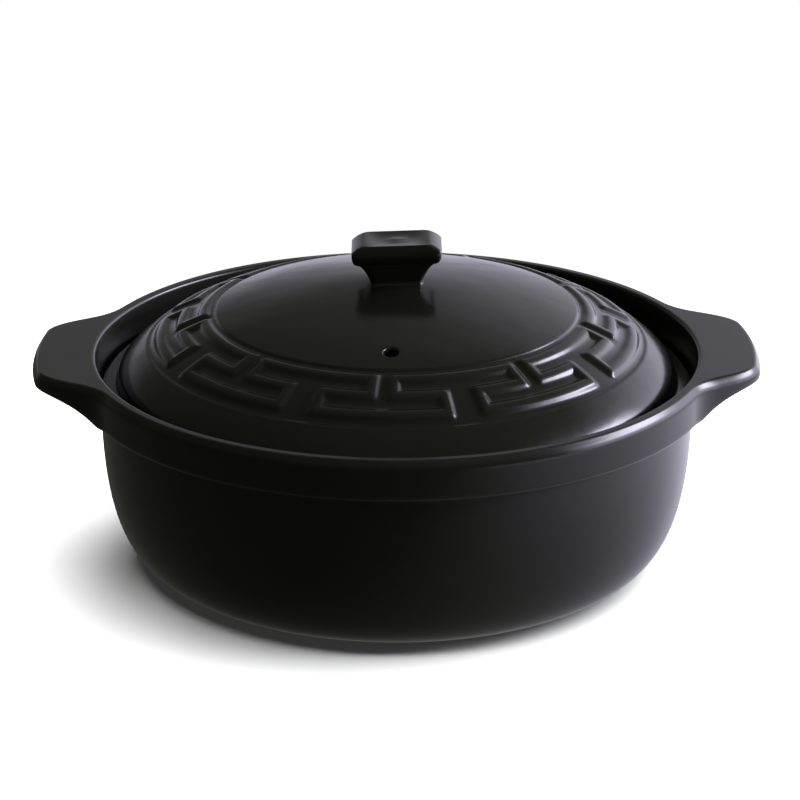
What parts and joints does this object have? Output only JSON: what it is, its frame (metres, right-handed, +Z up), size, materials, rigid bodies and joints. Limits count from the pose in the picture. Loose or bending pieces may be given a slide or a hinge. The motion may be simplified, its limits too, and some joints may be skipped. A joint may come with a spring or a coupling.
{
  "type": "casserole pot",
  "caption": "Round low ceramic casserole pot with a collared rim, two lug handles and a lift-off domed lid with a fret relief, a steam hole and a block knob.",
  "frame": {"origin": "centre of the pot's flat base, on the table", "axes": "+X from the left lug to the right lug, -Y towards the front with the steam hole, +Z up"},
  "size_m": [0.3016, 0.262, 0.138],
  "materials": {
    "pot_glaze": "semi-gloss black glaze",
    "lid_glaze": "semi-gloss black glaze",
    "bare_clay": "unglazed fired clay"
  },
  "bodies": {
    "pot": {"bowl": "pot_glaze", "handle_left": "pot_glaze", "handle_right": "pot_glaze"},
    "lid": {"lid_dome": "lid_glaze", "lid_knob": "lid_glaze"}
  },
  "joints": [
    {"name": "lid_lift", "type": "slide", "parent": "pot", "child": "lid", "axis": [0, 0, 1], "range_m": [0, 0.1]}
  ]
}
